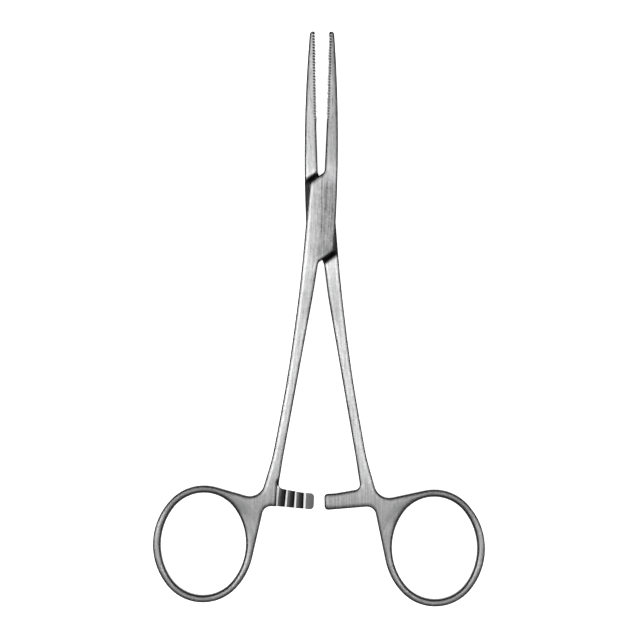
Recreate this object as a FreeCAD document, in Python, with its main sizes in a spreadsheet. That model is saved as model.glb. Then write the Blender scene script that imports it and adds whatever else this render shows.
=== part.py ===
import FreeCAD, Part
import math
import os
import Sketcher

# Straight box-lock hemostat forceps, lying flat and slightly open, with the ratchet bars apart.
# X is across the instrument, Y points at the jaw tips and Z up. The origin is on the pivot axis,
# level with the outer face of the back cheek. Each half is drawn with the jaws closed, about its
# own middle plane. Its placement then lifts it and opens it, and turns the tongue half over.

Vector = FreeCAD.Vector
Rotation = FreeCAD.Rotation

document = FreeCAD.newDocument("hemostat_forceps")
sheet = document.addObject("Spreadsheet::Sheet", "sizes")

SIZES = [
    ("rest_opening", 4.2, "angle between the halves as the instrument lies, from tips touching"),
    ("stop_opening", 61, "angle at which the tongue meets the corner of its slot"),
    ("jaw_length", 45.5, "pivot to tip"),
    ("tip_width", 1.2, "one jaw across its tip"),
    ("tip_rounding", 0.8, "outer corner of the tip"),
    ("tip_gap", 0.08, "middle line to the tooth tips at the jaw tip"),
    ("jaw_gap", 0.42, "middle line to the inner edge behind the serrations"),
    ("jaw_hollow", 150, "bend radius where the serrated face meets that inner edge"),
    ("jaw_bulge", 1.05, "how far the outer edge of jaw and box bows outwards"),
    ("box_edge", 3.45, "middle line to the cheek's free lower corner"),
    ("box_width", 7.3, "box across the pivot"),
    ("box_shoulder", 3.1, "middle line to the cheek's free upper corner"),
    ("box_thickness", 4.4, "over both cheeks"),
    ("cheek_top", 10.95, "pivot to the cheek's upper end on the middle line"),
    ("cheek_bottom", 10.55, "pivot to the cheek's lower end on the middle line"),
    ("lock_angle", 35.5, "slope of the cheek ends and shoulders"),
    ("lock_gap", 0.42, "cheek end to shoulder with the jaws closed"),
    ("crotch_rounding", 1.3, "inner corner between cheek end and jaw or shank"),
    ("crotch_out", 0.2, "middle line to the corner between cheek end and shank"),
    ("slot_overrun", 0.1, "slot's wall past the middle line and past the cheek's end"),
    ("tongue_thickness", 1.5, "tongue between the cheeks"),
    ("tongue_play", 0.05, "tongue face to cheek"),
    ("tongue_relief", 0.45, "tongue edge to slot wall with the jaws closed"),
    ("pin_radius", 1.0, "rivet shank"),
    ("pin_play", 0.05, "rivet to tongue, radial"),
    ("pin_flare", 0.25, "countersink that the rivet's end is upset into"),
    ("tip_thickness", 2.1, "jaw over its flats at the tip"),
    ("shank_thickness", 3.4, "shank, ratchet bar and finger ring over their flats"),
    ("box_run_out", 2.2, "how far the box's full thickness goes on past the cheek ends"),
    ("shank_taper", 12, "from there to the shank's own thickness"),
    ("flats_bend", 50, "bend radius of the flats along the instrument"),
    ("shank_knee", 15.5, "pivot to the first bend of the shank's outer edge"),
    ("shank_knee_out", 4.25, "middle line to that bend"),
    ("shank_waist", 38.5, "pivot to the second bend of the outer edge"),
    ("shank_waist_out", 6.35, "middle line to that bend"),
    ("shank_flare", 8.35, "last bend of the outer edge to the ratchet bar"),
    ("shank_flare_out", 9.3, "middle line to that bend"),
    ("shank_sweep", 340, "bend radius of the outer edge"),
    ("flare_bend", 40, "bend radius of the outer edge above the ring"),
    ("shank_inner", 19, "pivot to the bend of the shank's inner edge"),
    ("shank_inner_out", 1.15, "middle line to that bend"),
    ("inner_bend", 60, "bend radius of the inner edge"),
    ("shank_width", 2.6, "shank above the ratchet"),
    ("ratchet_top", 66.85, "pivot to the near side of the ratchet bar"),
    ("ratchet_width", 4.0, "ratchet bar along the instrument"),
    ("ratchet_reach", 1.26, "how far the bar passes the middle line, jaws closed"),
    ("ratchet_taper", 0.9, "how much wider the bar is at its root"),
    ("ratchet_hollow", 12, "bend radius of the bar's near side"),
    ("ratchet_play", 0.1, "between the crests of the two bars"),
    ("tooth_count", 3, "ratchet teeth on one bar"),
    ("tooth_pitch", 2.22, "from one ratchet crest to the next"),
    ("tooth_depth", 0.7, "ratchet crest to valley"),
    ("tooth_land", 0.22, "flat on a ratchet crest"),
    ("tooth_lean", 0.1, "how far a tooth's steep flank leans under its crest"),
    ("ring_out", 25.15, "middle line to the ring's centre"),
    ("box_ring_drop", 13.35, "near side of the ratchet bar to the centre of the box half's ring"),
    ("tongue_ring_drop", 14.0, "near side of the ratchet bar to the centre of the tongue half's ring"),
    ("ring_half_width", 10.35, "ring opening, half its width"),
    ("ring_half_length", 12.45, "ring opening, half its length"),
    ("ring_crown", 9.3, "ring opening, radius of its ends"),
    ("ring_side", 1.9, "ring band at its sides"),
    ("ring_end", 1.75, "ring band at its ends"),
    ("neck_out", 2.65, "shank's last bend out to the corner of shank and ring, before rounding"),
    ("neck_drop", 2.05, "near side of the ratchet bar to that corner"),
    ("neck_rounding", 3.6, "rounding of that corner"),
    ("web_in", 14.35, "ring's centre to the corner of ratchet bar and ring, before rounding"),
    ("web_rise", 0.65, "how far that corner stands above the bar's far side"),
    ("web_rounding", 2.2, "rounding of that corner"),
    ("bar_rounding", 0.9, "corners at the free end of the ratchet bar"),
    ("root_spread", 0.9, "shank's inner edge from its last bend to the bar's root"),
    ("root_rounding", 1.3, "inner corner of shank and ratchet bar"),
    ("corner_rounding", 0.1, "free corners of tips, cheeks and tongue, more than their bevel"),
    ("edge_bevel", 0.32, "long edges of the forgings"),
    ("opening_bevel", 0.55, "edges of the ring's opening"),
    ("serration_length", 21.5, "serrated part of the jaw"),
    ("serration_pitch", 0.7, "from one jaw tooth to the next"),
    ("serration_depth", 0.32, "jaw tooth height"),
    ("serration_land", 0.12, "flat on a jaw tooth"),
]
CLEAR = 2  # how far a cutting profile reaches past what it cuts
TINY = 0.01  # less than this counts as nothing
UPRIGHT = 0.05  # a side face leans less than this from the Z axis
ARC_SHARE = 0.98  # two arcs may take this much of the side between them

for row, (alias, value, meaning) in enumerate(SIZES, 1):
    sheet.set(f"A{row}", meaning)
    sheet.set(f"B{row}", str(value))
    sheet.setAlias(f"B{row}", alias)
document.recompute()


def size(alias):
    return float(sheet.get(alias))


def bind(feature, prop, expression):
    feature.setExpression(prop, expression)


class Body:
    """A body with short ways to add a sketch, a feature or a pattern."""

    def __init__(self, label):
        self.body = document.addObject("PartDesign::Body", label)
        self.body.Label = label

    def origin(self, role):
        return next(item for item in self.body.Origin.OriginFeatures if item.Role == role)

    def sketch(self, name, role, curves, shift=None, turn=0, fixed=True):
        """A sketch on an origin plane, lifted by an expression and turned in its plane."""
        sketch = self.body.newObject("Sketcher::SketchObject", f"{self.body.Name}_{name}")
        sketch.AttachmentSupport = (self.origin(role), [""])
        sketch.MapMode = "FlatFace"
        sketch.AttachmentOffset = FreeCAD.Placement(Vector(), Rotation(Vector(0, 0, 1), turn))
        if shift:
            bind(sketch, "AttachmentOffset.Base.z", shift)
        sketch.addGeometry(curves, False)
        if fixed:
            for index in range(len(curves)):
                sketch.addConstraint(Sketcher.Constraint("Block", index))
        return sketch

    def feature(self, kind, name, sketch, Length=None, **settings):
        feature = self.body.newObject(f"PartDesign::{kind}", f"{self.body.Name}_{name}")
        feature.Profile = sketch
        for prop, value in settings.items():
            setattr(feature, prop, value)
        if Length:
            bind(feature, "Length", Length)
        return feature

    def pattern(self, kind, name, original, spacing, count, **settings):
        pattern = self.body.newObject(f"PartDesign::{kind}", f"{self.body.Name}_{name}")
        pattern.Originals = [original]
        pattern.Mode = "Spacing"
        for prop, value in settings.items():
            setattr(pattern, prop, value)
        bind(pattern, "Offset", spacing)
        bind(pattern, "Occurrences", count)
        self.body.Tip = pattern
        document.recompute()
        return pattern

    def dress(self, kind, name, base, edges, **sizes):
        dressing = self.body.newObject(f"PartDesign::{kind}", f"{self.body.Name}_{name}")
        dressing.Base = (base, edges)
        for prop, expression in sizes.items():
            bind(dressing, prop, expression)
        self.body.Tip = dressing
        document.recompute()

    def place(self, turn):
        """Lifts the middle plane so that the back cheek lies at zero."""
        self.body.Placement = FreeCAD.Placement(Vector(), turn)
        bind(self.body, "Placement.Base.z", "sizes.box_thickness / 2")


def rounded(corners, closed=False):
    """Lines joined by tangent arcs through (x, y, radius) corners, shrunk where two arcs would meet."""
    points = [Vector(x, y, 0) for x, y, _ in corners]
    count = len(points)

    def half_angle(i):
        back = points[i - 1] - points[i]
        ahead = points[(i + 1) % count] - points[i]
        return back.getAngle(ahead) / 2

    rounds = range(count) if closed else range(1, count - 1)
    reach = {i: corners[i][2] / math.tan(half_angle(i)) for i in rounds}
    share = dict.fromkeys(range(count), 1.0)
    for i in range(count if closed else count - 1):
        j = (i + 1) % count
        wanted = reach.get(i, 0) + reach.get(j, 0)
        room = (points[j] - points[i]).Length * ARC_SHARE
        if wanted > room:
            share[i] = min(share[i], room / wanted)
            share[j] = min(share[j], room / wanted)
    turns = []
    for i, here in enumerate(points):
        step = reach.get(i, 0) * share[i]
        if step < TINY:
            turns.append((here, None, here))
            continue
        back = (points[i - 1] - here).normalize()
        ahead = (points[(i + 1) % count] - here).normalize()
        half = half_angle(i)
        radius = step * math.tan(half)
        middle = (back + ahead).normalize() * (radius / math.sin(half) - radius)
        turns.append((here + back * step, here + middle, here + ahead * step))
    curves = []
    for i, (start, middle, end) in enumerate(turns):
        if i or closed:
            curves.append(Part.LineSegment(turns[i - 1][2], start))
        if middle:
            curves.append(Part.Arc(start, middle, end))
    return curves


def polygon(*corners):
    return rounded([(x, y, 0) for x, y in corners], closed=True)


class Oval:
    """Oval of four tangent arcs, two crowns and two flatter sides, read by its normal's angle."""

    def __init__(self, centre, half_width, half_length, crown):
        rise = half_length - crown
        side = (half_width ** 2 + rise ** 2 - crown ** 2) / (2 * (half_width - crown))
        shift = side - half_width
        self.turn = math.atan2(rise, shift)
        self.circles = {
            "right": (centre - Vector(shift, 0, 0), side),
            "top": (centre + Vector(0, rise, 0), crown),
            "left": (centre + Vector(shift, 0, 0), side),
            "bottom": (centre - Vector(0, rise, 0), crown),
        }

    def where(self, angle):
        if abs(math.sin(angle)) > math.sin(self.turn):
            return "top" if math.sin(angle) > 0 else "bottom"
        return "right" if math.cos(angle) > 0 else "left"

    def point(self, angle):
        centre, radius = self.circles[self.where(angle)]
        return centre + Vector(math.cos(angle), math.sin(angle), 0) * radius

    def touch(self, corner, side):
        """Angle at which a line from a corner outside touches the oval."""
        for name, (centre, radius) in self.circles.items():
            away = corner - centre
            angle = math.atan2(away.y, away.x) + side * math.acos(radius / away.Length)
            if self.where(angle) == name:
                return angle

    def arcs(self, start, end):
        joints = [half * math.pi + sign * self.turn for half in range(-1, 4) for sign in (-1, 1)]
        stops = [start] + [angle for angle in joints if start < angle < end] + [end]
        return [Part.Arc(self.point(a), self.point((a + b) / 2), self.point(b))
                for a, b in zip(stops, stops[1:])]


def ring_ovals(name):
    """Opening and outer edge of one half's finger ring."""
    centre = Vector(-size("ring_out"), -size("ratchet_top") - size(name + "_ring_drop"), 0)
    width = size("ring_half_width")
    length = size("ring_half_length")
    crown = size("ring_crown")
    opening = Oval(centre, width, length, crown)
    outer = Oval(centre, width + size("ring_side"), length + size("ring_end"), crown + size("ring_end"))
    return opening, outer


def slope():
    return math.tan(math.radians(size("lock_angle")))


def meeting(a, b, c, d):
    """Where the line through a and b meets the line through c and d."""
    along = b - a
    across = d - c
    offset = c - a
    share = (offset.x * across.y - offset.y * across.x) / (along.x * across.y - along.y * across.x)
    return a + along * share


def slot_wall():
    """Ends of the slot's upper wall in the box: at the crotch, and at the box's edge."""
    edge = size("box_width") / 2
    crotch = Vector(size("slot_overrun"), size("cheek_top") + size("slot_overrun"), 0)
    stop = Vector(edge, edge * math.tan(math.radians(size("stop_opening") / 2)), 0)
    return crotch, stop


def tongue_edge():
    """Ends of the tongue's edge that faces the slot's upper wall, seen in the box half's frame."""
    crotch, stop = slot_wall()
    along = (stop - crotch).normalize()
    inward = Vector(along.y, -along.x, 0)
    start = crotch + inward * size("tongue_relief")
    top = start + along * ((-size("jaw_gap") - start.x) / along.x)
    foot = start + along * ((size("box_width") / 2 - start.x) / along.x)
    return top, foot


def jaw_belly(low):
    """Corner that carries the bowed outer edge from its lower end up to the tip."""
    tip = Vector(size("tip_gap") + size("tip_width"), size("jaw_length"), 0)
    whole = (tip - Vector(size("box_edge"), -size("cheek_bottom"), 0)).Length / 2
    radius = whole ** 2 / (2 * size("jaw_bulge"))
    half = (tip - low) / 2
    outward = Vector(half.y, -half.x, 0).normalize()
    corner = (tip + low) / 2 + outward * (half.Length ** 2 / math.sqrt(radius ** 2 - half.Length ** 2))
    return corner.x, corner.y, radius


def at(point, radius):
    return point.x, point.y, radius


def plan(name):
    """Outline of one half from the ring's tangent points round the jaw, jaws closed."""
    opening, outer = ring_ovals(name)
    top = -size("ratchet_top")
    bottom = top - size("ratchet_width")
    web = Vector(size("web_in") - size("ring_out"), bottom + size("web_rise"), 0)
    neck = Vector(-size("shank_flare_out") - size("neck_out"), top - size("neck_drop"), 0)
    flare = top + size("shank_flare")
    start = outer.touch(web, -1)
    end = outer.touch(neck, 1)
    inner = size("shank_width") - size("shank_flare_out")
    reach = size("ratchet_reach")
    crotch = size("crotch_rounding")
    sweep = size("shank_sweep")
    corner = size("corner_rounding") + size("edge_bevel")
    shoulder = Vector(-size("box_shoulder"), size("cheek_top") - size("box_shoulder") * slope(), 0)
    knee = Vector(-size("shank_knee_out"), -size("shank_knee"), 0)
    jaw_tip = [
        (size("tip_gap") + size("tip_width"), size("jaw_length"), size("tip_rounding")),
        (size("tip_gap"), size("jaw_length"), corner),
        (size("jaw_gap"), size("jaw_length") - size("serration_length"), size("jaw_hollow")),
    ]
    if name == "box":
        low = Vector(size("box_edge"), size("box_edge") * slope() - size("cheek_bottom"), 0)
        middle = [
            (-size("crotch_out"), -size("crotch_out") * slope() - size("cheek_bottom"), crotch),
            at(low, corner),
            jaw_belly(low),
            *jaw_tip,
            (size("jaw_gap"), size("cheek_top") + size("jaw_gap") * slope(), crotch),
            at(shoulder, corner),
        ]
    else:
        high, foot = tongue_edge()
        low = Vector(foot.x, -foot.y, 0)
        root = Vector(-high.x, high.y, 0)
        middle = [
            (high.x, -high.y, corner),
            at(low, corner),
            jaw_belly(low),
            *jaw_tip,
            at(root, corner),
            at(meeting(root, Vector(-foot.x, foot.y, 0), shoulder, knee), corner),
        ]
    corners = [
        at(outer.point(start), 0),
        at(web, size("web_rounding")),
        (reach, bottom, size("bar_rounding")),
        (reach, top, size("bar_rounding")),
        (-reach, top, size("ratchet_hollow")),
        (inner - size("root_spread"), top + size("ratchet_taper"), size("root_rounding")),
        (inner, flare, size("inner_bend")),
        (-size("shank_inner_out"), -size("shank_inner"), size("inner_bend")),
        *middle,
        at(knee, sweep),
        (-size("shank_waist_out"), -size("shank_waist"), sweep),
        (-size("shank_flare_out"), flare, size("flare_bend")),
        at(neck, size("neck_rounding")),
        at(outer.point(end), 0),
    ]
    full = 2 * math.pi
    return rounded(corners) + outer.arcs(end, start + full) + opening.arcs(opening.turn, opening.turn + full)


def side_profile():
    """What is cut off above and below the half's flats, seen from the side."""
    half_box = size("box_thickness") / 2
    run_out = size("box_run_out")
    bend = size("flats_bend")
    shank = -size("cheek_bottom") - run_out - size("shank_taper")
    far = -size("ratchet_top") - size("tongue_ring_drop") - 2 * size("ring_half_length")
    curves = []
    for sign in (1, -1):
        flats = [
            (size("jaw_length") + CLEAR, size("tip_thickness") / 2, 0),
            (size("cheek_top") + run_out, half_box, bend),
            (-size("cheek_bottom") - run_out, half_box, bend),
            (shank, size("shank_thickness") / 2, bend),
            (far, size("shank_thickness") / 2, 0),
            (far, half_box + CLEAR, 0),
            (size("jaw_length") + CLEAR, half_box + CLEAR, 0),
        ]
        curves += rounded([(y, sign * z, radius) for y, z, radius in flats], closed=True)
    return curves


def long_edges(shape, name, of_opening):
    """Names of the edges between flats and upright sides, of the ring's opening or all others."""
    across = size("ring_half_width") + size("ring_side") / 2
    along = size("ring_half_length") + size("ring_end") / 2
    names = []
    for index, edge in enumerate(shape.Edges, 1):
        faces = shape.ancestorsOfType(edge, Part.Face)
        middle = edge.valueAt((edge.FirstParameter + edge.LastParameter) / 2)
        upright = [abs(face.normalAt(*face.Surface.parameter(middle)).z) < UPRIGHT for face in faces]
        off_x = (middle.x + size("ring_out")) / across
        off_y = (middle.y + size("ratchet_top") + size(name + "_ring_drop")) / along
        inside = math.hypot(off_x, off_y) < 1
        if True in upright and False in upright and inside == of_opening:
            names.append(f"Edge{index}")
    return names


def forge(half, name):
    """Outline, side profile and bevelled long edges, as both halves have them."""
    blank = half.sketch("plan", "XY_Plane", plan(name))
    half.feature("Pad", "blank", blank, SideType="Symmetric", Length=f"sizes.box_thickness + {CLEAR}")
    side = half.sketch("side", "YZ_Plane", side_profile())
    flats = half.feature("Pocket", "flats", side, SideType="Symmetric", Type="ThroughAll")
    document.recompute()
    half.dress("Chamfer", "edges", flats, long_edges(flats.Shape, name, False), Size="sizes.edge_bevel")
    outside = half.body.Tip
    rims = long_edges(outside.Shape, name, True)
    half.dress("Chamfer", "opening", outside, rims, Size="sizes.opening_bevel")


def open_slot(half):
    """Slot right through the box for the tongue, between the two cheeks."""
    crotch, stop = slot_wall()
    along = (stop - crotch).normalize()
    top = crotch - along * CLEAR
    foot = stop + along * CLEAR
    outside = size("box_width")
    outline = polygon(
        (top.x, top.y), (foot.x, foot.y), (outside, -top.y), (-top.x, -top.y),
        (-foot.x, -foot.y), (-outside, top.y),
    )
    slot = half.sketch("slot_plan", "XY_Plane", outline)
    height = "sizes.tongue_thickness + 2 * sizes.tongue_play"
    half.feature("Pocket", "slot", slot, SideType="Symmetric", Length=height)


def thin_tongue(half):
    """Tongue left standing between the two shoulders."""
    outside = 2 * size("box_width")
    gap = size("lock_gap") / math.cos(math.radians(size("lock_angle")))
    fall = outside * slope()
    outline = polygon(
        (-outside, size("cheek_top") + gap + fall), (outside, size("cheek_top") + gap - fall),
        (outside, -size("cheek_bottom") - gap - fall), (-outside, -size("cheek_bottom") - gap + fall),
    )
    for name, sign, reverse in (("front", "", True), ("back", "-", False)):
        face = half.sketch(name + "_plan", "XY_Plane", outline, sign + "sizes.tongue_thickness / 2")
        half.feature("Pocket", name + "_recess", face, Reversed=reverse, Type="ThroughAll")


def cut_ratchet(half):
    """Bar brought down to its crest level, then its teeth about the pivot axis."""
    first = -size("ratchet_reach")
    root = first - size("tooth_pitch") * size("tooth_count")
    near = -size("ratchet_top") + size("ratchet_taper") + CLEAR
    far = -size("ratchet_top") - size("ratchet_width") - CLEAR
    beyond = size("ratchet_reach") + CLEAR
    level = half.sketch("ratchet_level", "XY_Plane", polygon(
        (root, near), (root, far), (beyond, far), (beyond, near)), "-sizes.ratchet_play / 2")
    half.feature("Pocket", "ratchet_flat", level, Reversed=True, Type="ThroughAll")
    crest = -size("ratchet_play") / 2
    above = crest + CLEAR
    land = first + size("tooth_land")
    fall = size("tooth_depth") * (beyond - land) / size("tooth_pitch")
    lead = polygon((land, crest), (beyond, crest - fall), (beyond, above), (land, above))
    end = land - size("tooth_pitch")
    valley = (first - size("tooth_lean"), crest - size("tooth_depth"))
    notch = polygon((first, above), (first, crest), valley, (end, crest), (end, above))
    start = f"sizes.ratchet_top - {CLEAR}"
    length = f"sizes.ratchet_width + {2 * CLEAR}"
    ramp = half.sketch("lead_profile", "XZ_Plane", lead, start)
    half.feature("Pocket", "lead", ramp, Reversed=True, Length=length)
    profile = half.sketch("notch_profile", "XZ_Plane", notch, start)
    tooth = half.feature("Pocket", "notch", profile, Reversed=True, Length=length)
    pitch = "sizes.tooth_pitch / (sizes.ratchet_top + sizes.ratchet_width / 2) * 180 / pi"
    half.pattern("PolarPattern", "teeth", tooth, pitch, "sizes.tooth_count", Reversed=True,
                 Axis=(half.origin("Z_Axis"), [""]))


def serrate_jaw(half, shift):
    """Fine teeth across the inner face of the jaw, one groove repeated towards the tip.

    The shift sets one jaw's teeth against the other's grooves.
    """
    lean = math.degrees(math.atan2(size("jaw_gap") - size("tip_gap"), size("serration_length")))
    foot = Vector(size("jaw_gap"), size("jaw_length") - size("serration_length"), 0)
    foot = Rotation(Vector(0, 0, 1), -lean).multVec(foot)
    pitch = size("serration_pitch")
    depth = size("serration_depth")
    middle = foot.y + pitch + shift
    mouth = pitch - size("serration_land")
    groove = polygon((foot.x - depth, middle - mouth), (foot.x + depth, middle), (foot.x - depth, middle + mouth))
    outline = half.sketch("groove_plan", "XY_Plane", groove, turn=lean)
    first = half.feature("Pocket", "groove", outline, SideType="Symmetric", Type="ThroughAll")
    half.pattern("LinearPattern", "serrations", first, "sizes.serration_pitch",
                 "floor(sizes.serration_length / sizes.serration_pitch) - 1",
                 Direction=(outline, ["V_Axis"]))


def drill(half, radius, countersunk):
    """Hole for the rivet, flared at both faces where its ends are upset."""
    circle = [Part.Circle(Vector(), Vector(0, 0, 1), size("pin_radius"))]
    outline = half.sketch("bore_plan", "XY_Plane", circle, fixed=False)
    outline.addConstraint(Sketcher.Constraint("Coincident", 0, 3, -1, 1))
    outline.addConstraint(Sketcher.Constraint("Radius", 0, size("pin_radius")))
    bind(outline, "Constraints[1]", radius)
    bore = half.feature("Pocket", "bore", outline, SideType="Symmetric", Type="ThroughAll")
    document.recompute()
    if countersunk:
        face = size("box_thickness") / 2
        rims = []
        for index, edge in enumerate(bore.Shape.Edges, 1):
            box = edge.BoundBox
            level = box.ZLength < TINY and abs(abs(box.Center.z) - face) < TINY
            central = math.hypot(box.Center.x, box.Center.y) < size("pin_play")
            if level and central and box.XLength < size("box_width") / 2:
                rims.append(f"Edge{index}")
        half.dress("Chamfer", "flare", bore, rims, Size="sizes.pin_flare")


def make_box_half():
    half = Body("box_half")
    forge(half, "box")
    open_slot(half)
    cut_ratchet(half)
    serrate_jaw(half, 0)
    drill(half, "sizes.pin_radius", True)
    turn = Rotation(Vector(0, 0, 1), -size("rest_opening") / 2)
    half.place(turn)


def make_tongue_half():
    half = Body("tongue_half")
    forge(half, "tongue")
    thin_tongue(half)
    cut_ratchet(half)
    serrate_jaw(half, size("serration_pitch") / 2)
    drill(half, "sizes.pin_radius + sizes.pin_play", False)
    turn = Rotation(Vector(0, 0, 1), size("rest_opening") / 2)
    half.place(turn * Rotation(Vector(0, 1, 0), 180))


def make_pin():
    """Rivet, straight between the cheeks' faces and upset into their countersinks."""
    pin = Body("pivot_pin")
    face = size("box_thickness") / 2
    wide = size("pin_radius") + size("pin_flare")
    straight = face - size("pin_flare")
    outline = polygon(
        (0, -face), (wide, -face), (size("pin_radius"), -straight),
        (size("pin_radius"), straight), (wide, face), (0, face),
    )
    profile = pin.sketch("profile", "XZ_Plane", outline)
    pin.feature("Revolution", "rivet", profile, ReferenceAxis=(pin.origin("Z_Axis"), [""]))
    pin.place(Rotation())


make_box_half()
make_tongue_half()
make_pin()
document.recompute()

os.makedirs("parts", exist_ok=True)
bodies = [item for item in document.Objects if item.TypeId == "PartDesign::Body"]
for item in document.Objects:
    if {"Invalid", "Error"} & set(item.State):
        raise RuntimeError(f"{item.Label} failed: {item.State}")
for body in bodies:
    if body.Shape.isNull() or not body.Shape.isValid() or len(body.Shape.Solids) != 1:
        raise RuntimeError(f"{body.Label} isn't one valid solid")
for body in bodies:
    body.Shape.exportStep(f"parts/{body.Label}.step")
    box = body.Shape.BoundBox
    print(f"{body.Label}: {box.XLength:.2f} x {box.YLength:.2f} x {box.ZLength:.2f} mm, "
          f"{body.Shape.Volume / 1000:.2f} cm3")
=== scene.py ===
import bmesh
import bpy
import math
from mathutils import Matrix, Vector


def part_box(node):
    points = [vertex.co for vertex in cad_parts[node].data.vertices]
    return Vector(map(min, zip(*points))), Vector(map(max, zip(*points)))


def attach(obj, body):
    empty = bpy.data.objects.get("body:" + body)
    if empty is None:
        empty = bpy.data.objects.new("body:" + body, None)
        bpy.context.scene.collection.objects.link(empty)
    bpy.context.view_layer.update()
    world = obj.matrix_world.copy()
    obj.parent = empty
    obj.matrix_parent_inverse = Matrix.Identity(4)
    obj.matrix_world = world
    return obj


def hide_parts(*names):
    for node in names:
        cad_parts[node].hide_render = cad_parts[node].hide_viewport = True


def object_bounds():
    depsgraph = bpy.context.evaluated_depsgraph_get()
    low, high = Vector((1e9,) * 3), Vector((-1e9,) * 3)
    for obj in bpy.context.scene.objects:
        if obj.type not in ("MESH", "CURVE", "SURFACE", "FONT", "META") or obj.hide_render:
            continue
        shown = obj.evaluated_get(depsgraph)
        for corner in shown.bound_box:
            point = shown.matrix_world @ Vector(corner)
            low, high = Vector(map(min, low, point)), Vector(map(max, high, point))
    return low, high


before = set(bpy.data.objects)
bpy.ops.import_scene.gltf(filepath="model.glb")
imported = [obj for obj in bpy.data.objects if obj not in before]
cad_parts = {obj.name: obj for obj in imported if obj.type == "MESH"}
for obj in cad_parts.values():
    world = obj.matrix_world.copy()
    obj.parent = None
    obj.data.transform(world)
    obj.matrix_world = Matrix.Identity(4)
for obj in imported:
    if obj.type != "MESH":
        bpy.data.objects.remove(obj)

bl_info = {
    "name": "Hemostat Forceps",
    "version": (1, 0, 0),
    "blender": (4, 5, 0),
    "location": "View3D > Sidebar > Forceps",
    "description": "Dresses the packed hemostat forceps in ground satin steel and lights them",
    "category": "Object",
}

PACKED_LOW, PACKED_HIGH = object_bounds()
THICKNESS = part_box("box_half")[1].z


class ForcepsFinish(bpy.types.PropertyGroup):
    steel: bpy.props.FloatVectorProperty(
        name="Steel", description="Colour of the ground steel", subtype="COLOR", size=3,
        min=0, max=1, default=(0.62, 0.62, 0.625))
    # Painted shade: the bevels are coloured near black, as if they mirrored a dark room
    edge_shade_colour: bpy.props.FloatVectorProperty(
        name="Edge Shade", description="Shade painted on the bevels along the forgings", subtype="COLOR",
        size=3, min=0, max=1, default=(0.012, 0.012, 0.0125))
    # Painted shade for the recessed steel down in the box lock and between the ratchet's teeth
    gap_shade_colour: bpy.props.FloatVectorProperty(
        name="Gap Shade", description="Shade painted down in the box lock and between the teeth",
        subtype="COLOR", size=3, min=0, max=1, default=(0.018, 0.018, 0.019))
    roughness: bpy.props.FloatProperty(
        name="Satin", description="Roughness of the ground faces", subtype="FACTOR", min=0, max=1,
        default=0.3)
    edge_rounding: bpy.props.FloatProperty(
        name="Edge Rounding", description="How far the edges' rounding reaches into the flats",
        subtype="DISTANCE", unit="LENGTH", precision=5, default=0.0015)
    groove_pitch: bpy.props.FloatProperty(
        name="Groove Pitch", description="From one groove of the jaws to the next", subtype="DISTANCE",
        unit="LENGTH", precision=5, default=0.0007)
    first_groove: bpy.props.FloatProperty(
        name="First Groove", description="From the pivot along the jaw's face to the middle of a groove",
        subtype="DISTANCE", unit="LENGTH", precision=5, default=0.02469)
    jaw_face: bpy.props.FloatProperty(
        name="Jaw Face", description="How far the line of the tooth tips passes beside the pivot",
        subtype="DISTANCE", unit="LENGTH", precision=5, default=0.0008)
    jaw_lean: bpy.props.FloatProperty(
        name="Jaw Lean", description="Angle of the jaw's face to the middle line as the forceps lie",
        subtype="ANGLE", default=math.radians(1.194))
    streak_width: bpy.props.FloatProperty(
        name="Streak Width", description="Width of one grinding streak", subtype="DISTANCE",
        unit="LENGTH", default=0.0003)
    streak_length: bpy.props.FloatProperty(
        name="Streak Length", description="Length of one grinding streak", subtype="DISTANCE",
        unit="LENGTH", default=0.009)
    streak_depth: bpy.props.FloatProperty(
        name="Streak Depth", description="Depth of the grinding streaks", subtype="DISTANCE",
        unit="LENGTH", precision=7, default=0.000004)
    smooth_angle: bpy.props.FloatProperty(
        name="Smooth Angle", description="Edges sharper than this stay crisp", subtype="ANGLE",
        default=math.radians(50))


class ForcepsStage(bpy.types.PropertyGroup):
    floor: bpy.props.FloatVectorProperty(
        name="Floor", description="Colour of the floor", subtype="COLOR", size=3, min=0, max=1,
        default=(0.85, 0.85, 0.85))
    floor_glow: bpy.props.FloatProperty(
        name="Floor Lift", description="What brings the floor up to white for the camera", min=0,
        default=0.86)
    softbox: bpy.props.FloatProperty(
        name="Softbox", description="Power of the lamp overhead", subtype="POWER", default=0.42)
    left_card: bpy.props.FloatProperty(
        name="Left Card", description="Power of the narrow lamp on the left", subtype="POWER",
        default=3.2)
    right_card: bpy.props.FloatProperty(
        name="Right Card", description="Power of the narrow lamp on the right", subtype="POWER",
        default=1.8)
    walls: bpy.props.FloatProperty(
        name="Walls", description="Brightness of the room all round, below its ceiling", min=0,
        default=1.15)
    ceiling: bpy.props.FloatProperty(
        name="Ceiling", description="Brightness of the room above, beside the lamps", min=0, default=0.2)
    distance: bpy.props.FloatProperty(
        name="Camera Height", description="From the top of the box to the lens", subtype="DISTANCE",
        unit="LENGTH", default=0.8)
    picture_width: bpy.props.FloatProperty(
        name="Picture Width", description="What the frame takes in", subtype="DISTANCE", unit="LENGTH",
        default=0.1552)
    turn: bpy.props.FloatProperty(
        name="Camera Turn", description="Turn of the picture about the line of sight", subtype="ANGLE",
        default=math.radians(0.35))
    pivot_from_left: bpy.props.FloatProperty(
        name="Pivot from Left", description="Place of the pivot in the photograph", subtype="PIXEL",
        default=320.9)
    pivot_from_top: bpy.props.FloatProperty(
        name="Pivot from Top", description="Place of the pivot in the photograph", subtype="PIXEL",
        default=218.3)


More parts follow.
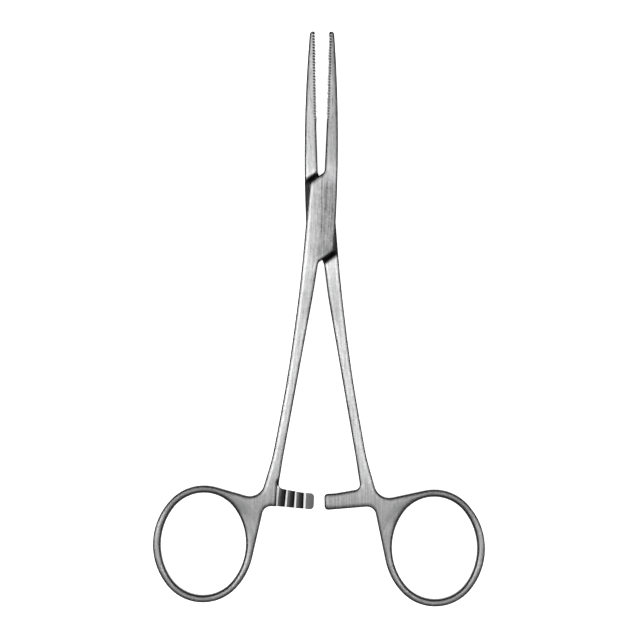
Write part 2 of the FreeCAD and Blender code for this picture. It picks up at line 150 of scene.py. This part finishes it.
# Lengths are in metres. A pair is where a mask begins to change and where it has changed.
HALF_OPENING = math.radians(2.1)  # turn of each half from closed
RING_FROM_SIDE = 0.0124  # a half's outer side to the middle of its ring
RING_FROM_END = 0.0142  # a half's lower end to the middle of its ring
RING_RADIUS = 0.0115  # where the streaks round the ring have their full length
RING_EDGE = (0.01265, 0.01495)  # the ring's middle to the end of those streaks
RING_TOP = (0.004, 0.010)  # up from the ring's middle, where the ring's top is painted darker as shade
NO_RING = Vector((1, 1))  # far from the rivet, which has none

# Places along the forceps, from the pivot and positive towards the tips
SERRATIONS = (0.0236, 0.0239)
JAW = (0.008, 0.030)
BOX_TOP = (0.007, 0.011)
BOX_BOTTOM = (-0.012, -0.008)
SHANK = (-0.016, -0.010)
NECK = (-0.072, -0.058)
BAR = (-0.0655, -0.0650)

# Places across the forceps, from the middle line of each half
SERRATED_STRIP = (0.0008, 0.0010)
BAR_REACH = (0.0078, 0.0081)
BAR_FREE_END = (0.0011, 0.0013)
BOX_RIGHT = (-0.0035, 0.0015)

# Places from the middle plane
BAR_TEETH = (0.0008, 0.0010)
BAR_CRESTS = (0.00010, 0.00016)
GAP_FLOOR = (0.0008, 0.00095)
ABOVE_CRESTS = (0.00005, 0.0005)

# Places round the pivot, and across and along from it; across and along is where the shade painted in the
# gaps is made lighter
RIVET = (0.0016, 0.0024)
SHADE_EASED_ACROSS = (0.0008, 0.0028)
SHADE_EASED_ALONG = (0.0020, 0.0075)

# Shade painted in the jaws' grooves: share of the pitch to each side, and reach behind the tooth tips
GROOVE_SIDE = (0.28, 0.36)
GROOVE_REACH = (0.00056, 0.0007)

# How level a surface is: 0 upright, 1 level
FLAT = (0.93, 0.978)
TOOTH_RAMP = (0.85, 0.9)
OFF_UPRIGHT = (0.1, 0.35)
GAP_LEVEL = (0.8, 0.95)
CREST_LEVEL = (0.9, 0.97)
GROOVE_LEVEL = (0.3, 0.6)

# Shares of the shade painted along the edges and in the gaps
SIDE_SHADE_SHARE = 0.2  # what the upright sides take of the shade painted along the edges
FREE_END_LIFT = 0.8
SHADE_EASED_LIFT = 0.5

# Noise, its weight in the tone and in the roughness, and the shade and light painted on each place
STREAKS = dict(scale=1.0, detail=3.0, roughness=0.6)
CLOUDS = dict(scale=260.0, detail=4.0, roughness=0.6)
SPECKLES = dict(scale=1500.0, detail=3.0, roughness=0.7)
NOISE_MIDDLE = 0.5
STREAK_TONE, CLOUD_TONE, SPECKLE_TONE = 0.9, 0.3, 0.5
STREAK_ROUGHNESS, CLOUD_ROUGHNESS = 0.14, 0.08
STREAK_BUMP = 0.35
TONE = 0.82
TEETH_DARKER, NECK_DARKER, SHANK_DARKER, RING_TOP_DARKER = 0.5, 0.34, 0.2, 0.3
RIGHT_DARKER, BOX_RIGHT_DARKER, BOX_DARKER = 0.2, 0.42, 0.08
BOX_GRAIN = 1.4
JAW_LIGHTER = 0.14
CREST_HIGHLIGHT = 1.5
BEVEL_SAMPLES = 12

# Meshes
MERGE = 1e-6
FLAT_FROM = 0.93  # upward share of a flat's normal
UPRIGHT_TO = 0.2  # upward share of an upright side's normal
LEVEL_BEND = math.radians(8)  # flats shade as one up to this bend
GROOVED_FROM, GROOVED_TO = 0.0235, 0.0447  # along the jaw
TOOTHED_WITHIN = 0.0023  # across, as the forceps lie
GROOVE_LENGTH = 0.001  # an edge down a groove's bottom is longer
GROOVE_RUN_OUT = 0.00022

# Stage
FLOOR_REACH = 4
FLOOR_ROUGHNESS, FLOOR_SPECULAR = 0.9, 0.1
LAMPS = {  # across, height, width and length
    "softbox": (0, 1.0, 0.5, 0.6),
    "left_card": (-0.5, 0.85, 0.14, 0.8),
    "right_card": (0.42, 0.85, 0.1, 0.8),
}
CEILING_FROM = (0.55, 0.85)  # upward share of a direction
PICTURE_PIXELS = 640
SENSOR_MM = 36
BLACK, WHITE = (0, 0, 0, 1), (1, 1, 1, 1)
MIX_SOCKETS = {"RGBA": (0, 6, 7, 2), "VECTOR": (0, 4, 5, 1)}  # factor, the two values, result


class Shade:
    """A value in a material; arithmetic on it adds Math nodes."""

    def __init__(self, finish, socket):
        self.finish = finish
        self.socket = socket

    def other(self, output):
        """Another output of the same node."""
        return Shade(self.finish, self.socket.node.outputs[output])

    def math(self, operation, *values):
        inputs = dict(enumerate((self, *values)))
        return self.finish.add("ShaderNodeMath", dict(operation=operation), inputs)

    def __add__(self, other):
        return self.math("ADD", other)

    def __sub__(self, other):
        return self.math("SUBTRACT", other)

    def __rsub__(self, other):
        return self * -1 + other

    def __mul__(self, other):
        return self.math("MULTIPLY", other)

    def __pow__(self, other):
        return self.math("POWER", other)

    def __or__(self, other):
        """The stronger of two masks."""
        return self.math("MAXIMUM", other)

    __radd__ = __add__
    __rmul__ = __mul__

    def magnitude(self):
        return self.math("ABSOLUTE")

    def rise(self, low, high):
        """Rises smoothly from 0 at low to 1 at high."""
        inputs = {"Value": self, "From Min": low, "From Max": high}
        return self.finish.add("ShaderNodeMapRange", dict(interpolation_type="SMOOTHSTEP"), inputs)

    def fall(self, low, high):
        """Falls smoothly from 1 at low to 0 at high."""
        return 1 - self.rise(low, high)

    def swing(self, weight):
        """Noise as a change to either side of none."""
        return (self - NOISE_MIDDLE) * weight


class Finish:
    """The nodes of a material or of the world, in the making."""

    def __init__(self, owner):
        owner.use_nodes = True
        self.owner = owner
        self.tree = owner.node_tree
        self.tree.nodes.clear()

    def add(self, kind, settings=None, inputs=None):
        """Adds a node, sets it up, fills its sockets and gives its first output."""
        node = self.tree.nodes.new(kind)
        for name, value in (settings or {}).items():
            setattr(node, name, value)
        for name, value in (inputs or {}).items():
            socket = node.inputs[name]
            if isinstance(value, Shade):
                self.tree.links.new(value.socket, socket)
            else:
                socket.default_value = value
        return Shade(self, node.outputs[0]) if node.outputs else None

    def coordinates(self, **mapping):
        """The piece's own coordinates, scaled, turned and moved."""
        place = self.add("ShaderNodeTexCoord").other("Object")
        inputs = {name.title(): value for name, value in mapping.items()}
        return self.add("ShaderNodeMapping", dict(vector_type="POINT"), {"Vector": place, **inputs})

    def parts(self, vector):
        split = self.add("ShaderNodeSeparateXYZ", inputs={"Vector": vector})
        return split, split.other("Y"), split.other("Z")

    def vector(self, x, y, z):
        return self.add("ShaderNodeCombineXYZ", inputs={"X": x, "Y": y, "Z": z})

    def noise(self, vector, scale, detail, roughness):
        inputs = {"Vector": vector, "Scale": scale, "Detail": detail, "Roughness": roughness}
        return self.add("ShaderNodeTexNoise", dict(noise_dimensions="3D"), inputs)

    def mix(self, factor, low, high, kind="RGBA"):
        """Blends two colours, or two directions with VECTOR as the kind."""
        factor_in, low_in, high_in, result = MIX_SOCKETS[kind]
        inputs = {factor_in: factor, low_in: low, high_in: high}
        return self.add("ShaderNodeMix", dict(data_type=kind), inputs).other(result)


def from_axis(x, y):
    return (x * x + y * y) ** 0.5


def grinding(finish, look, piece_parts, ring_centre):
    """Streaks along the piece and round its ring, and the mask of the ring's top, where shade is painted.
    """
    x, y, z = piece_parts
    fine = 1 / look.streak_width
    long = 1 / look.streak_length
    ring_place = finish.coordinates(location=(-ring_centre.x, -ring_centre.y, 0))
    ring_x, ring_y, ring_z = finish.parts(ring_place)
    radius = from_axis(ring_x, ring_y)
    angle = ring_y.math("ARCTAN2", ring_x)
    straight = finish.vector(x * fine, y * long, z * fine)
    curved = finish.vector(radius * fine, angle * (RING_RADIUS * long), ring_z * fine)
    on_ring = radius.fall(*RING_EDGE)
    streak = finish.noise(straight, **STREAKS) * (1 - on_ring) + finish.noise(curved, **STREAKS) * on_ring
    return streak, on_ring * ring_y.rise(*RING_TOP)


def groove_shade_mask(finish, look, jaw_side):
    """The bottoms of the serrations, counted along the jaw's face, where shade is painted."""
    inward, along, _ = finish.parts(finish.coordinates(
        scale=(jaw_side, 1, 1), rotation=(0, 0, look.jaw_lean),
        location=(-look.jaw_face, -look.first_groove, 0)))
    off_groove = (along * (1 / look.groove_pitch)).math("PINGPONG", 0.5)
    return off_groove.fall(*GROOVE_SIDE) * inward.fall(*GROOVE_REACH)


def steel_finish(name, ring_centre, turn, jaw_side, crown_shade_and_grain):
    """Satin steel, ground along the piece and round its ring, with a mottled box, shade painted along the
    edges, in the gaps, in the grooves and on some places, and a highlight painted on the ratchet's crests.
    """
    look = bpy.context.scene.forceps_finish
    finish = Finish(bpy.data.materials.new(name))
    piece_place = finish.coordinates(rotation=(0, 0, turn))
    x, y, z = finish.parts(piece_place)
    streak, ring_top_shade = grinding(finish, look, (x, y, z), ring_centre)
    cloud = finish.noise(piece_place, **CLOUDS)
    speckle = finish.noise(piece_place, **SPECKLES)

    height = z - THICKNESS / 2
    depth = height.magnitude()
    middle = x.magnitude()
    rivet = from_axis(x, y).fall(*RIVET)
    serrated = middle.fall(*SERRATED_STRIP) * y.rise(*SERRATIONS)
    toothed = depth.fall(*BAR_TEETH) * y.fall(*BAR) * middle.fall(*BAR_REACH)
    rounded = finish.add("ShaderNodeBevel", dict(samples=BEVEL_SAMPLES), {"Radius": look.edge_rounding})
    crisp = finish.add("ShaderNodeNewGeometry").other("Normal")
    normal = finish.mix(rivet | serrated | toothed, rounded, crisp, "VECTOR")
    upward = finish.parts(normal)[2]
    level = upward.magnitude()

    # Shade painted along the edges and, in part, on the upright sides, as if they mirrored a dark room
    flat = (level | toothed * level.rise(*TOOTH_RAMP)).rise(*FLAT)
    off_side = level.rise(*OFF_UPRIGHT) | serrated
    edge = (1 - flat) * (SIDE_SHADE_SHARE + off_side * (1 - SIDE_SHADE_SHARE))
    # Shade painted down in the box lock and the ratchet's gaps, lighter at the bars' free ends and beside
    # the pivot
    gap_shade = (height * upward).fall(*GAP_FLOOR) * depth.rise(*ABOVE_CRESTS) * level.rise(*GAP_LEVEL)
    free_end = toothed * middle.fall(*BAR_FREE_END)
    eased_shade = middle.fall(*SHADE_EASED_ACROSS) * y.magnitude().fall(*SHADE_EASED_ALONG)
    gap_shade = gap_shade * (1 - free_end * FREE_END_LIFT) * (1 - eased_shade * SHADE_EASED_LIFT)
    # Shade painted in the mouths of the jaws' grooves
    groove = groove_shade_mask(finish, look, jaw_side) * serrated * level.rise(*GROOVE_LEVEL)

    # Shade painted on the ratchet's teeth, the ring necks, the shanks and the ring's top
    shade = (1 - toothed * TEETH_DARKER) * (1 - y.fall(*NECK) * NECK_DARKER)
    shade = shade * (1 - y.fall(*SHANK) * SHANK_DARKER) * (1 - ring_top_shade * RING_TOP_DARKER)
    grain = 1.0
    # Box half: its right-hand side and its box painted darker as shade, and the box's grain stronger on
    # the right
    if crown_shade_and_grain:
        right = x.rise(*BOX_RIGHT)
        on_box = y.rise(*BOX_BOTTOM) * y.fall(*BOX_TOP)
        shade = shade * (1 - right * RIGHT_DARKER) * (1 - right * on_box * BOX_RIGHT_DARKER)
        shade = shade * (1 - on_box * BOX_DARKER)
        grain = 1 + right * on_box * BOX_GRAIN
    else:
        # Other half: its jaw painted lighter, as painted light
        shade = shade * (1 + y.rise(*JAW) * JAW_LIGHTER)
    mottle = streak.swing(STREAK_TONE) + cloud.swing(CLOUD_TONE) + speckle.swing(SPECKLE_TONE)
    tone = (TONE + mottle * grain) * shade
    # Highlight painted on the level crests of the ratchet's teeth
    crest_highlight = toothed * depth.fall(*BAR_CRESTS) * level.rise(*CREST_LEVEL)

    ground = finish.mix(tone | crest_highlight * CREST_HIGHLIGHT, BLACK, (*look.steel, 1))
    edge_shaded = finish.mix(edge, ground, (*look.edge_shade_colour, 1))
    colour = finish.mix(gap_shade | groove, edge_shaded, (*look.gap_shade_colour, 1))
    roughness = look.roughness + streak.swing(STREAK_ROUGHNESS) + cloud.swing(CLOUD_ROUGHNESS)
    bump = finish.add("ShaderNodeBump", inputs={
        "Strength": STREAK_BUMP, "Distance": look.streak_depth, "Height": streak, "Normal": normal})
    surface = finish.add("ShaderNodeBsdfPrincipled", inputs={
        "Base Color": colour, "Metallic": 1.0, "Roughness": roughness, "Normal": bump})
    finish.add("ShaderNodeOutputMaterial", inputs={"Surface": surface})
    return finish.owner


def lie(face):
    """Tells a flat from a bevel and from an upright side."""
    upward = abs(face.normal.z)
    return "flat" if upward > FLAT_FROM else "side" if upward < UPRIGHT_TO else "bevel"


def among_teeth(point):
    """Whether a point lies along the serrated face of either jaw."""
    return GROOVED_FROM < point.y < GROOVED_TO and abs(point.x) < TOOTHED_WITHIN


def neighbours(face, corner, lies, smooth_angle):
    """The faces at a corner that shade as one with a face there."""
    own = lies[face.index]
    near = [other for other in corner.vert.link_faces if other.normal.angle(face.normal) < smooth_angle]
    firm = [other for other in near if lies[other.index] != "bevel"]
    if own == "bevel" and firm:
        return firm
    same = [other for other in near if lies[other.index] == own]
    if own == "flat":
        same = [other for other in same if other.normal.angle(face.normal) < LEVEL_BEND]
    return same


def rounded_normals(shape, smooth_angle):
    """A normal for each face corner. Flats and sides keep their own, a bevel turns from one to the
    other, and a bevel among the jaw's teeth counts as level."""
    lies = [lie(face) for face in shape.faces]
    areas = [face.calc_area() for face in shape.faces]
    normals = []
    for face in shape.faces:
        if lies[face.index] == "bevel" and among_teeth(face.calc_center_median()):
            normals.extend(Vector((0, 0, math.copysign(1, face.normal.z))) for corner in face.loops)
            continue
        for corner in face.loops:
            group = neighbours(face, corner, lies, smooth_angle)
            total = sum((other.normal * areas[other.index] for other in group), Vector())
            normals.append(total.normalized())
    return normals


def slant_grooves(shape):
    """Lets the jaws' grooves run out towards the back, so that their bottoms show from the front."""
    bottoms = {}
    for edge in shape.edges:
        high, low = sorted(edge.verts, key=lambda vert: -vert.co.z)
        if low.co.y > GROOVED_FROM and high.co.z - low.co.z > GROOVE_LENGTH and not edge.is_convex:
            bottoms[low.index] = low
    for low in bottoms.values():
        low.co.x -= math.copysign(GROOVE_RUN_OUT, low.co.x)


def merged_copy(node, name):
    """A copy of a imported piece, its loose triangles joined and its broken edges shaded round."""
    look = bpy.context.scene.forceps_finish
    shape = bmesh.new()
    shape.from_mesh(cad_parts[node].data)
    bmesh.ops.remove_doubles(shape, verts=shape.verts[:], dist=MERGE)
    bmesh.ops.dissolve_degenerate(shape, edges=shape.edges[:], dist=MERGE)
    slant_grooves(shape)
    shape.normal_update()
    shape.faces.index_update()
    normals = rounded_normals(shape, look.smooth_angle)
    mesh = bpy.data.meshes.new(name)
    shape.to_mesh(mesh)
    shape.free()
    for leftover in ("custom_normal", "sharp_face", "sharp_edge"):
        if leftover in mesh.attributes:
            mesh.attributes.remove(mesh.attributes[leftover])
    mesh.shade_smooth()
    mesh.normals_split_custom_set(normals)
    piece = bpy.data.objects.new(name, mesh)
    bpy.context.scene.collection.objects.link(piece)
    return piece


def dress(node, name, ring_side, crown_shade_and_grain):
    """Puts a dressed copy in place of one packed half, whose ring is on the given side."""
    low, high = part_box(node)
    outer_side = high.x if ring_side > 0 else low.x
    ring_centre = Vector((outer_side - ring_side * RING_FROM_SIDE, low.y + RING_FROM_END))
    piece = merged_copy(node, name)
    steel = steel_finish(name + "_steel", ring_centre, -ring_side * HALF_OPENING, -ring_side, crown_shade_and_grain)
    piece.data.materials.clear()
    piece.data.materials.append(steel)
    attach(piece, node)
    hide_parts(node)


class FORCEPS_OT_box_half(bpy.types.Operator):
    """Dresses the half that carries the box, with the left-hand shank and ring"""
    bl_idname = "forceps.box_half"
    bl_label = "Box Half"

    def execute(self, context):
        dress("box_half", "female_half", ring_side=-1, crown_shade_and_grain=True)
        return {"FINISHED"}


class FORCEPS_OT_tongue_half(bpy.types.Operator):
    """Dresses the half whose tongue runs through the box, with the right-hand shank and ring"""
    bl_idname = "forceps.tongue_half"
    bl_label = "Tongue Half"

    def execute(self, context):
        dress("tongue_half", "male_half", ring_side=1, crown_shade_and_grain=False)
        return {"FINISHED"}


class FORCEPS_OT_pivot_pin(bpy.types.Operator):
    """Finishes the rivet, ground flush with the cheeks"""
    bl_idname = "forceps.pivot_pin"
    bl_label = "Pivot Pin"

    def execute(self, context):
        steel = steel_finish("rivet_steel", NO_RING, turn=0, jaw_side=1, crown_shade_and_grain=True)
        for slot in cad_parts["pivot_pin"].material_slots:
            slot.material = steel
        return {"FINISHED"}


def soft_lamp(name, middle, across, height, width, length, power):
    """A lamp that faces the middle of the forceps and that the camera doesn't see."""
    data = bpy.data.lights.new(name, "AREA")
    data.shape = "RECTANGLE"
    data.size = width
    data.size_y = length
    data.energy = power
    lamp = bpy.data.objects.new(name, data)
    place = Vector((across, middle, height))
    lamp.location = place
    lamp.rotation_euler = (Vector((0, middle, 0)) - place).to_track_quat("-Z", "Y").to_euler()
    lamp.visible_camera = False
    bpy.context.scene.collection.objects.link(lamp)


class FORCEPS_OT_stage(bpy.types.Operator):
    """Adds the pale floor, the lamps, the room and the camera above the forceps"""
    bl_idname = "forceps.stage"
    bl_label = "Stage"

    def execute(self, context):
        stage = context.scene.forceps_stage
        self.floor(stage)
        self.lamps(stage)
        self.room(stage)
        self.camera(stage)
        context.scene.view_settings.view_transform = "Standard"
        return {"FINISHED"}

    def floor(self, stage):
        shape = bmesh.new()
        bmesh.ops.create_grid(shape, x_segments=1, y_segments=1, size=FLOOR_REACH)
        mesh = bpy.data.meshes.new("floor")
        shape.to_mesh(mesh)
        shape.free()
        floor = bpy.data.objects.new("floor", mesh)
        bpy.context.scene.collection.objects.link(floor)
        finish = Finish(bpy.data.materials.new("pale_floor"))
        camera_ray = finish.add("ShaderNodeLightPath")
        seen = camera_ray + camera_ray.other("Is Glossy Ray") + camera_ray.other("Is Transmission Ray")
        surface = finish.add("ShaderNodeBsdfPrincipled", inputs={
            "Base Color": (*stage.floor, 1), "Roughness": FLOOR_ROUGHNESS,
            "Specular IOR Level": FLOOR_SPECULAR,
            "Emission Color": finish.mix(seen * stage.floor_glow, BLACK, WHITE), "Emission Strength": 1.0})
        finish.add("ShaderNodeOutputMaterial", inputs={"Surface": surface})
        mesh.materials.append(finish.owner)

    def lamps(self, stage):
        middle = (PACKED_LOW.y + PACKED_HIGH.y) / 2
        for name, lamp in LAMPS.items():
            soft_lamp(name, middle, *lamp, getattr(stage, name))

    def room(self, stage):
        world = bpy.data.worlds.new("room")
        room = Finish(world)
        direction = room.add("ShaderNodeTexCoord").other("Generated")
        above = room.parts(direction)[2].rise(*CEILING_FROM)
        walls, ceiling = ((level, level, level, 1) for level in (stage.walls, stage.ceiling))
        light = room.add("ShaderNodeBackground", inputs={
            "Color": room.mix(above, walls, ceiling), "Strength": 1.0})
        room.add("ShaderNodeOutputWorld", inputs={"Surface": light})
        bpy.context.scene.world = world

    def camera(self, stage):
        scale = stage.picture_width / PICTURE_PIXELS
        across = (PICTURE_PIXELS / 2 - stage.pivot_from_left) * scale
        along = (stage.pivot_from_top - PICTURE_PIXELS / 2) * scale
        data = bpy.data.cameras.new("camera")
        data.sensor_width = SENSOR_MM
        data.lens = SENSOR_MM * stage.distance / stage.picture_width
        camera = bpy.data.objects.new("camera", data)
        turn = Matrix.Rotation(stage.turn, 4, "Z")
        camera.matrix_world = turn @ Matrix.Translation((across, along, stage.distance + THICKNESS))
        bpy.context.scene.collection.objects.link(camera)
        bpy.context.scene.camera = camera


class FORCEPS_PT_panel(bpy.types.Panel):
    """Lists the pieces, and the finish and the stage that they are made with"""
    bl_idname = "FORCEPS_PT_panel"
    bl_label = "Hemostat Forceps"
    bl_space_type = "VIEW_3D"
    bl_region_type = "UI"
    bl_category = "Forceps"

    def draw(self, context):
        for operator in PIECES:
            self.layout.operator(operator.bl_idname)
        for group in (context.scene.forceps_finish, context.scene.forceps_stage):
            for name in group.__annotations__:
                self.layout.prop(group, name)


PIECES = (FORCEPS_OT_box_half, FORCEPS_OT_tongue_half, FORCEPS_OT_pivot_pin, FORCEPS_OT_stage)
CLASSES = (ForcepsFinish, ForcepsStage, *PIECES, FORCEPS_PT_panel)


def register():
    for item in CLASSES:
        bpy.utils.register_class(item)
    bpy.types.Scene.forceps_finish = bpy.props.PointerProperty(type=ForcepsFinish)
    bpy.types.Scene.forceps_stage = bpy.props.PointerProperty(type=ForcepsStage)


def unregister():
    del bpy.types.Scene.forceps_stage
    del bpy.types.Scene.forceps_finish
    for item in reversed(CLASSES):
        bpy.utils.unregister_class(item)


def main():
    register()
    bpy.ops.forceps.box_half()
    bpy.ops.forceps.tongue_half()
    bpy.ops.forceps.pivot_pin()
    bpy.ops.forceps.stage()


if __name__ == "__main__":
    main()
